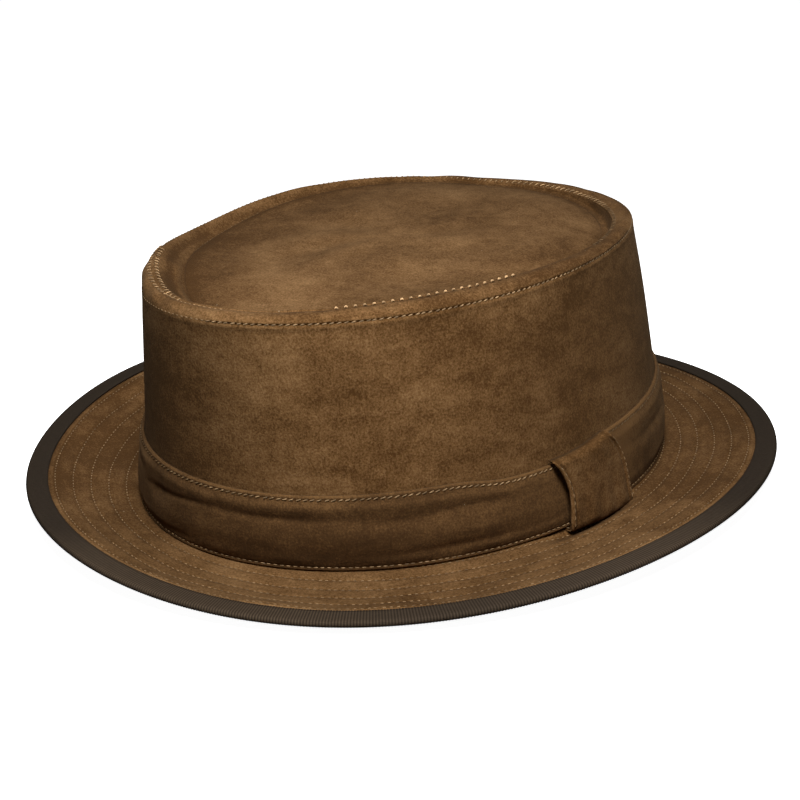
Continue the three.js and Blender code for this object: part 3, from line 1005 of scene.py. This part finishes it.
def brim_half(crown, brim, angle, level):
    """Half the brim's thickness, less towards the binding"""
    edge = (level - 1.0) * brim_reach(crown, brim, angle)
    return 0.5 * brim.thickness - 0.5 * (brim.thickness - brim.skived) * ease(edge, *SKIVE)


def brim_rows(crown, brim, angle, level, middle, width):
    """Marks beside every row of stitches: the sum of a bell at that distance from each row"""
    reach = brim_reach(crown, brim, angle)
    rows = range(brim.rows + 1)
    offs = [(level - row_levels(crown, brim, angle, row)) * reach for row in rows]
    return sum(bell(off, middle, width) for off in offs)


def brim_top(crown, brim, angle, level):
    """Upper face: softly uneven, and drawn in along each row of stitches"""
    dip = 0.22 * brim_rows(crown, brim, angle, level, 0.0, 0.7)
    soft = 0.25 * ripple(21, angle, level, waves=14, highest=22, reach=2.0)
    soft = soft * ease(level, 0.05, 0.3) * (1.0 - ease(level, 0.7, 0.85))
    return brim_middle(crown, brim, angle, level, brim_half(crown, brim, angle, level) - dip + soft)


def brim_under(crown, brim, angle, level):
    """Lower face: half the brim's thickness below its middle"""
    return brim_middle(crown, brim, angle, level, -brim_half(crown, brim, angle, level))


class HatBrimOperator(bpy.types.Operator):
    """Brim of two plies, drawn in along its rows of stitches"""

    bl_idname = "hat.brim"
    bl_label = "Brim"

    def execute(self, context):
        crown, brim = sizes("hat_crown"), sizes("hat_brim")
        upper, under = partial(brim_top, crown, brim), partial(brim_under, crown, brim)
        levels = np.linspace(0.0, 1.0, 96)
        below = np.linspace(1.0, 0.0, 24)
        inmost = [-crown.wall / 40.0]  # a little inside the crown's foot
        grid = swept((inmost, upper), (levels, upper), (below, under), (inmost, under))
        wear, shade = np.zeros((2, *grid.shape[:2]))
        angle, top = stations(), slice(1, 1 + len(levels))
        edge = (levels - 1.0) * brim_reach(crown, brim, angle)
        # Lighter beside each row of stitches, and a painted highlight along the binding's inner
        # edge
        wear[:, top] = 0.12 * brim_rows(crown, brim, angle, levels, 2.6, 1.4)
        wear[:, top] += 0.6 * bell(edge, -8.0, 0.5)
        # Painted shade along each row's groove, around the brim from its table and under the
        # keeper's foot
        shade[:, top] = 0.22 * brim_rows(crown, brim, angle, levels, 0.0, 0.7)
        shade[:, top] += around(BRIM_PAINTED_SHADE, angle)
        shade[:, top] += near(angle, BRIM_DIP, 0.012) * bell(levels, 0.08, 0.05)
        obj = put_ring("brim_skin", grid, wear=wear, shade=shade)
        finish_piece(obj, suede("Suede"), "suede", "brim")
        return {"FINISHED"}


def binding_point(crown, brim, angle, place, ribs):
    """Ribbon folded over the edge. Place runs from the edge of its top face at 0 over the fold
    to the edge of its under face at 1: a straight run, a half circle and a straight run, all
    moved outwards by ribs."""
    half = binding_half(brim)
    run = brim.binding - half
    arc = math.pi * half
    total = 2.0 * run + arc
    distance = np.asarray(place) * total
    turn = np.clip((distance - run) / arc, 0.0, 1.0) * math.pi
    before, beyond = distance < run, distance > run + arc
    on_arc = ~(before | beyond)
    back = np.where(before, brim.binding - distance, half + (distance - run - arc))
    back = np.where(on_arc, half - (half + ribs) * np.sin(turn), back)
    up = np.where(before, half + ribs, -half - ribs)
    up = np.where(on_arc, (half + ribs) * np.cos(turn), up)
    level = 1.0 - back / brim_reach(crown, brim, angle)
    foot_x, foot_y = oval(angle, crown.width, crown.length)
    edge_x, edge_y = oval(angle, brim.width, brim.length)
    x = foot_x + (edge_x - foot_x) * level
    y = foot_y + (edge_y - foot_y) * level
    return spots(x, y, np.maximum(edge_height(brim, angle) + up, FLOOR_GAP["binding"]))


class HatBindingOperator(bpy.types.Operator):
    """Grosgrain ribbon folded over the brim's edge"""

    bl_idname = "hat.binding"
    bl_label = "Binding"

    def execute(self, context):
        crown, brim = sizes("hat_crown"), sizes("hat_brim")
        girth = math.pi * 0.5 * (brim.width + brim.length)
        steps = np.arange(4 * int(round(girth / brim.rib)))[:, None]
        angle = steps * TURN / len(steps)
        ribs = 0.09 * np.cos(steps * 0.5 * math.pi)
        outside = np.concatenate(
            [np.linspace(0.0, 0.38, 6), np.linspace(0.42, 0.58, 7), np.linspace(0.62, 1.0, 4)]
        )
        inner = np.array([1.0, 0.6, 0.5, 0.4, 0.0])
        skin = binding_point(crown, brim, angle, outside, ribs)
        lining = binding_point(crown, brim, angle, inner, -brim.ribbon)
        # Painted light: the ribbon is lighter where the brim's painted shade is low, and along its
        # fold, most where lit
        lit = 1.0 - ease(around(BRIM_PAINTED_SHADE, angle), 0.0, 0.45)
        fold = bell(np.concatenate([outside, inner]), 0.5, 0.1)
        wear = 0.58 * lit + (0.15 + 0.3 * lit) * fold
        grid = np.concatenate([skin, lining], axis=1)
        obj = put_ring("binding_ribbon", grid, woven=brim.rib / 4.0, wear=wear)
        finish_piece(obj, ribbon_weave(brim.rib), "ribbon", "brim_binding")
        return {"FINISHED"}


def band_stand(band, angle, level):
    """How far the band's middle stands off the crown: a soft ridge under the upper hem and a broad
    one below it, as high as the slack, then each named fold as a bell along and across its line.
    It lies flat under the keeper."""
    slack = band.slack * np.maximum(0.1, around(BAND_SLACK, angle))
    stand = slack * (0.5 * bell(level, 0.86, 0.1) + 0.8 * bell(level, 0.45, 0.2))
    stand = stand + 0.14 * ripple(43, angle, level, waves=16, highest=30, reach=1.4) + 0.2
    for at, share_up, run, rise, slope, depth in BAND_FOLDS:
        along = (np.mod(angle - math.radians(at) + math.pi, TURN) - math.pi) * BAND_RADIUS
        off = (level - share_up) * band.width - slope * along
        stand = stand + 0.5 * depth * bell(along, 0.0, run) * bell(off, 0.0, rise)
    middle = ease(level, 0.03, 0.16) * (1.0 - ease(level, 0.84, 0.97))
    return stand * middle * (1.0 - 0.8 * near(angle, BAND_HELD, 0.045))


def band_dip(band, angle):
    """How far the band's upper edge sinks in front of the keeper"""
    return band.sink * near(angle, BAND_SINK, 0.03)


def band_skin(crown, band, angle, level, out=0.0):
    """Outside of the band: the side panel's oval widened by the gap, the thickness and the folds,
    with a thin rolled edge above and below and a groove at each row of stitches"""
    height = band.lift + level * (band.width - band_dip(band, angle))
    edge = np.minimum(level, 1.0 - level) * band.width
    upper = ease(level, 0.4, 0.6)
    roll = (0.3 - 0.15 * upper) * (1.0 - ease(edge, 0.5, 1.2))
    hem = roll - (0.2 - 0.13 * upper) * bell(edge, band.hem, 0.4) - 0.45
    hem = hem + 0.45 * ease(edge, 1.0, 5.0)
    stand = SPACE + band.thickness + band_stand(band, angle, level) + hem + out
    return leaned(side_ring(crown, band, angle, height / crown.height, stand, height), crown)


class HatBandOperator(bpy.types.Operator):
    """Slack suede band with turned and stitched edges"""

    bl_idname = "hat.band"
    bl_label = "Band"

    def execute(self, context):
        crown, band = sizes("hat_crown"), sizes("hat_band")
        fine = np.array([0.0, 0.005, 0.014, 0.028, 0.042, 0.052, 0.062, 0.075, 0.09])
        levels = np.concatenate([fine, np.linspace(0.11, 0.89, 50), 1.0 - fine[::-1]])
        edge = np.minimum(levels, 1.0 - levels) * band.width
        rounding = -0.6 * np.sqrt(np.maximum(0.0, 1.0 - np.minimum(edge / 0.5, 1.0)))
        skin = partial(band_skin, crown, band)
        grid = swept(
            (levels, partial(skin, out=rounding)),
            (np.linspace(1.0, 0.0, 18), partial(skin, out=0.25 - band.thickness)),
        )
        angle, outer = stations(), slice(0, len(levels))
        wear, shade = np.zeros((2, *grid.shape[:2]))
        # Lighter at the rolled edges, and painted light around the band from its table
        wear[:, outer] = 0.7 * (1.0 - ease(edge, 0.2, 0.65)) + around(BAND_PAINTED_LIGHT, angle)
        # Painted shade in the lower row's groove and in the folds' hollows, lighter where the band
        # stands out
        groove = 0.15 * bell(edge, band.hem, 0.4) * (levels < 0.5)
        folds = 0.15 * ease(band_stand(band, angle, levels), -0.6, 0.9)
        shade[:, outer] = 0.15 - folds + groove
        obj = put_ring("band_skin", grid, wear=wear, shade=shade)
        finish_piece(obj, suede("Band suede"), "band_suede", "hat_band")
        return {"FINISHED"}


def keeper_front(band):
    """How far the keeper's face stands off the crown, less the space between them"""
    return band.thickness + band.keeper_stand + band.keeper_thickness


def keeper_place(crown, band, along, level, out):
    """Point of the keeper: along its width from -0.5 to 0.5 and at a level of its height, on the
    band's oval. Its foot is wider than its head and lies further to the back."""
    down = 0.5 - level
    width = band.keeper_width + band.keeper_flare * (0.5 + down)
    bow = band.keeper_bow * np.sin(math.pi * np.clip(level, 0.0, 1.0) ** 1.5)
    run = band.keeper_back + width * along + band.keeper_skew * down + bow
    angle = np.arcsin(run / (0.5 * crown.length))
    height = level * (band.keeper_height - 0.85 * band_dip(band, angle))
    height = height + band.lift - band.keeper_drop + 0.9 * bell(along, -0.5, 0.35) * (1.0 - level)
    level = height / crown.height
    return leaned(side_ring(crown, band, angle, level, SPACE + out, height), crown)


def keeper_line(band, steps):
    """Section of the keeper from its head to its foot, as levels and distances out: in over the
    band's upper edge, round a corner, down the face, round a corner and in under the band"""
    front = keeper_front(band)
    inside, corner = 0.7, 1.6
    turn = np.linspace(0.0, 0.5 * math.pi, 7)
    head_out = front - corner + corner * np.sin(turn)
    head_level = 1.0 - (corner - corner * np.cos(turn)) / band.keeper_height
    face = np.linspace(head_level[-1], 1.0 - head_level[-1], steps)[1:-1]
    out = np.concatenate([[inside], head_out, np.full(face.shape, front), head_out[::-1], [inside]])
    level = np.concatenate([[1.0], head_level, face, 1.0 - head_level[::-1], [0.0]])
    return level, out


def keeper_rise(band, across, level):
    """Outward shape of the keeper's face: a pillow, a rolled border with a groove inside it and a
    front border that stands away from the band"""
    edge = (0.5 - np.abs(across)) * band.keeper_width
    on_face = ease(level, 0.02, 0.12) * (1.0 - ease(level, 0.9, 0.99))
    hem = 0.35 * (1.0 - ease(edge, 0.7, 1.6)) - 0.3 * bell(edge, 1.8, 0.45)
    pillow = 0.5 * (1.0 - (2.0 * across) ** 2) + 0.2 * ripple(51, 5.0 * across, level, 8, 5)
    away = 0.8 * bell(across, -0.5, 0.16) * np.sin(math.pi * np.clip(level, 0.0, 1.0))
    return (hem + pillow + away) * on_face


class HatKeeperOperator(bpy.types.Operator):
    """Keeper wrapped over the band, with turned edges"""

    bl_idname = "hat.keeper"
    bl_label = "Keeper"

    def execute(self, context):
        crown, band = sizes("hat_crown"), sizes("hat_band")
        level, out = keeper_line(band, 40)
        turn = np.linspace(-0.5 * math.pi, 0.5 * math.pi, 91)
        across = 0.75 * np.sin(turn) * 0.5 + 0.25 * turn / math.pi
        edge = (0.5 - np.abs(across)) * band.keeper_width
        round_off = np.sqrt(1.0 - (1.0 - np.clip(edge / 0.8, 0.02, 1.0)) ** 2)
        half = 0.5 * band.keeper_thickness * round_off[:, None]
        a, s = across[:, None], level[None]
        middle = out[None] - 0.5 * band.keeper_thickness + keeper_rise(band, a, s)
        outer = keeper_place(crown, band, a, s, middle + half)
        inner = keeper_place(crown, band, a, s * 0.94 + 0.03, np.maximum(middle - half, 0.72))
        grid = np.concatenate([outer, inner[:, ::-1]], axis=1)
        count, wide = grid.shape[:2]
        quads, _ = grid_quads(count, wide, False, True)
        steps = len(level)
        j = np.arange(steps - 1)
        cap = np.stack((j, j + 1, wide - 2 - j, wide - 1 - j), -1)
        quads = np.concatenate([quads, cap[:, ::-1], cap + (count - 1) * wide])
        wear, shade = np.zeros(grid.shape[:2]), np.full(grid.shape[:2], 0.6)
        # Lighter along the rolled borders; a base shade, with painted shade in the groove inside
        # each border and on the head, which turns up to the light
        wear[:, :steps] = 0.35 * (1.0 - ease(edge, 0.4, 1.1))[:, None]
        shade[:, :steps] = 0.36 + 0.4 * bell(edge, 1.8, 0.5)[:, None] + 0.6 * ease(s, 0.84, 0.96)
        marks = {"wear": wear, "shade": shade}
        obj = put_mesh("keeper_skin", grid.reshape(-1, 3), quads, marks=marks)
        finish_piece(obj, suede("Suede"), "band_suede", "band_keeper")
        return {"FINISHED"}


def between(row):
    """Painted shade of the needle holes: short dark grains halfway from each stitch of a row to the
    next
    """
    after = np.roll(row["middle"], -1, axis=0)
    gap = np.linalg.norm(after - row["middle"], axis=-1)
    keep = gap < 2.0 * np.median(gap)
    return {
        "middle": (0.5 * (after + row["middle"]))[keep],
        "ahead": row["ahead"][keep],
        "up": row["up"][keep],
        "length": row["hole"],
        "girth": 0.32,
        "rise": row["rise"] - 0.1,
        "coarse": True,
    }


def made(surface, place, pitch, length, girth, rise, span=(0.0, 360.0), slant=0.0, hole=0.0,
         coarse=False, unit=math.radians(1.0), **more):
    """A row of stitches with its sizes. Slant is in degrees, and so is span where no other unit
    is given; hole is the length of the needle holes between its stitches."""
    span = tuple(value * unit for value in span)
    row = sewn(surface, place, pitch, span=span, slant=math.radians(slant), **more)
    row.update(length=length, girth=girth, rise=rise, hole=hole, coarse=coarse)
    return row


def put_rows(name, slot, rows, thread="Thread", dim=1.0):
    """One mesh of thread and one of dark grains between the stitches, painted shade for the needle
    holes
    """
    finish_piece(put_stitches(name, rows), thread_twist(thread, dim), slot)
    holes = [between(row) for row in rows if row["hole"]]
    if holes:
        obj = put_stitches(name.replace("stitches", "holes"), holes)
        finish_piece(obj, hole_painted_shade(), slot)


class HatStitchesOperator(bpy.types.Operator):
    """Rows of stitches on the rim, the brim, the band and the keeper"""

    bl_idname = "hat.stitches"
    bl_label = "Stitches"

    def execute(self, context):
        crown, band, stitch = sizes("hat_crown"), sizes("hat_band"), sizes("hat_stitch")
        self.sew_rim(crown, band, stitch)
        self.sew_brim(crown, sizes("hat_brim"), stitch)
        self.sew_band(crown, band, stitch)
        return {"FINISHED"}

    def sew_rim(self, crown, band, stitch):
        rim, well = partial(rim_skin, crown, band), partial(well_skin, crown)
        wide, fine, ladder = stitch.pitch, stitch.fine, 1.08 * stitch.pitch

        def second_row(a):
            return 0.19 * (1.0 - ease(a, math.radians(246.0), math.radians(268.0)))

        put_rows("rim_stitches", "suede", [
            made(rim, 0.02, fine, 1.45, 0.42, -0.03, (276.0, 366.0), 16.0, HOLE, jitter=1),
            made(rim, 0.02, fine, 1.2, 0.3, -0.12, (200.0, 276.0)),
            made(rim, 0.88, wide, 2.3, 0.5, -0.04, (60.0, 104.0), 58.0, HOLE),
            made(rim, 0.95, fine, 1.3, 0.5, -0.08, (104.0, 186.0), 58.0),
            made(rim, 0.95, fine, 1.3, 0.4, -0.1, (186.0, 216.0), 58.0),
            made(rim, 0.94, ladder, 1.7, 0.48, 0.0, (218.0, 262.0), 82.0, jitter=2),
            made(well, second_row, ladder, 1.7, 0.48, 0.0, (222.0, 264.0), 82.0, jitter=2),
            made(rim, 0.95, fine, 1.2, 0.4, -0.12, (262.0, 280.0)),
        ])
        bead = made(rim, 0.93, 1.2 * wide, 1.2, 0.95, 0.1, (307.0, 350.0))
        put_rows("rim_bead_stitches", "suede", [bead], "Bead thread", 1.45)
        # Painted shade: these rows are sewn in a darker copy of the thread
        put_rows("rim_worn_stitches", "suede", [
            made(rim, 0.88, wide, 2.0, 0.45, -0.08, (18.0, 60.0), 58.0, 2.2),
            made(well, 0.97, fine, 0.8, 0.26, -0.12, (180.0, 211.0), 0.0, HOLE),
            made(rim, 0.02, fine, 1.45, 0.4, -0.08, (366.0, 560.0), 16.0, HOLE, jitter=1),
        ], "Old thread", 0.42)

    def sew_brim(self, crown, brim, stitch):
        faces = ((partial(brim_top, crown, brim), -1.0, HOLE),
                 (partial(brim_under, crown, brim), 1.0, 0.0))
        rows = []
        for row in range(brim.rows + 1):
            place = partial(row_levels, crown, brim, row=row)
            for face, side, hole in faces:
                rows.append(made(face, place, stitch.fine, 1.1, 0.36, -0.08, hole=hole,
                                 coarse=not hole, jitter=1, seed=row, side=side))
        put_rows("brim_stitches", "suede", rows, "Worn thread", 0.6)

    def sew_band(self, crown, band, stitch):
        skin, fine = partial(band_skin, crown, band), stitch.fine
        low = band.hem / band.width
        high = 1.0 - low
        put_rows("band_stitches", "band_suede", [
            made(skin, low, fine, 1.35, 0.4, -0.05, hole=HOLE, jitter=1),
            made(skin, high, fine, 1.7, 0.44, 0.04, (192.0, 350.0), 20.0, jitter=1, seed=2),
        ], "Band thread", 0.85)
        # Painted shade: this row is sewn in a darker copy of the thread
        put_rows("band_worn_stitches", "band_suede", [
            made(skin, high, fine, 1.5, 0.36, -0.05, (350.0, 552.0), 20.0, jitter=1, seed=3),
        ], "Old thread", 0.42)

        def keeper(level, along):
            out = keeper_front(band) + keeper_rise(band, along, level)
            return keeper_place(crown, band, along, level, out)

        # The keeper's rows run over its height, and their span is a share of it
        edge = 0.5 - 0.8 / band.keeper_width
        up = {"span": (0.06, 0.94), "unit": 1.0, "side": -1.0}
        put_rows("keeper_stitches", "band_suede", [
            made(keeper, edge, stitch.pitch, 1.4, 0.36, -0.04, **up),
            made(keeper, -edge, stitch.pitch, 1.4, 0.36, -0.06, **up),
        ])


class HatStageOperator(bpy.types.Operator):
    """Pale floor, soft lights and the camera"""

    bl_idname = "hat.stage"
    bl_label = "Stage"

    def execute(self, context):
        scene = context.scene
        stage = scene.hat_stage
        scene.view_settings.view_transform = "Standard"
        half = stage.floor / 2.0
        mesh = bpy.data.meshes.new("floor")
        corners = [(-half, -half, 0.0), (half, -half, 0.0), (half, half, 0.0), (-half, half, 0.0)]
        mesh.from_pydata(corners, [], [(0, 1, 2, 3)])
        paint, net = new_material("Floor")
        seen = net.add("ShaderNodeLightPath").outputs["Is Camera Ray"]
        strength = net.maths("MULTIPLY_ADD", seen, 1.0 - stage.bounce, stage.bounce)
        net.surface(
            Base_Color=net.dimmed(stage.floor_tint, strength),
            Emission_Color=(1.0, 1.0, 1.0, 1.0),
            Emission_Strength=net.maths("MULTIPLY", seen, 0.97),
            Roughness=1.0,
            Specular_IOR_Level=0.0,
        )
        mesh.materials.append(paint)
        new_object("floor", mesh)

        scene.world = scene.world or bpy.data.worlds.new("World")
        scene.world.use_nodes = True
        net = Net(scene.world.node_tree)
        seen = net.add("ShaderNodeLightPath").outputs["Is Camera Ray"]
        net.dress(
            net.tree.nodes["Background"],
            Strength=net.maths("MULTIPLY_ADD", seen, 1.0 - stage.sky, stage.sky),
            Color=net.blend(seen, (1.0, 0.92, 0.8, 1.0), (1.0, 1.0, 1.0, 1.0)),
        )

        for name, place, aim, side, part in LIGHTS:
            light = bpy.data.lights.new(name, "AREA")
            light.shape = "RECTANGLE"
            light.size = light.size_y = side
            light.energy = stage.key * part
            light.spread = stage.spread
            toward = (Vector(aim) - Vector(place)).to_track_quat("-Z", "Y")
            turned = toward.to_matrix().to_4x4()
            new_object(name, light).matrix_world = Matrix.Translation(place) @ turned

        lens = bpy.data.cameras.new("camera")
        lens.sensor_fit = "HORIZONTAL"
        lens.sensor_width = 36.0
        lens.lens = stage.lens
        lens.clip_start, lens.clip_end = 0.05, 50.0
        camera = new_object("camera", lens)
        turned = Matrix(CAMERA_AXES).transposed().to_4x4()
        camera.matrix_world = Matrix.Translation(CAMERA_PLACE) @ turned
        scene.camera = camera
        return {"FINISHED"}


STEPS = (
    HatCrownOperator,
    HatTipOperator,
    HatBrimOperator,
    HatBindingOperator,
    HatBandOperator,
    HatKeeperOperator,
    HatStitchesOperator,
    HatStageOperator,
)


class HatPanel(bpy.types.Panel):
    """Lists the hat's pieces and their sizes"""

    bl_idname = "VIEW3D_PT_hat"
    bl_label = "Porkpie Hat"
    bl_space_type = "VIEW_3D"
    bl_region_type = "UI"
    bl_category = "Hat"

    def draw(self, context):
        for step in STEPS:
            self.layout.operator(step.bl_idname)
        for name in GROUPS:
            group = getattr(context.scene, name)
            box = self.layout.box()
            for key in type(group).__annotations__:
                box.prop(group, key, text=key.replace("_", " ").capitalize())


CLASSES = (*GROUPS.values(), *STEPS, HatPanel)


def register():
    for cls in CLASSES:
        bpy.utils.register_class(cls)
    for name, cls in GROUPS.items():
        setattr(bpy.types.Scene, name, bpy.props.PointerProperty(type=cls))


def unregister():
    for name in GROUPS:
        delattr(bpy.types.Scene, name)
    for cls in reversed(CLASSES):
        bpy.utils.unregister_class(cls)


def main():
    register()
    for step in STEPS:
        area, name = step.bl_idname.split(".")
        getattr(getattr(bpy.ops, area), name)()


if __name__ == "__main__":
    main()
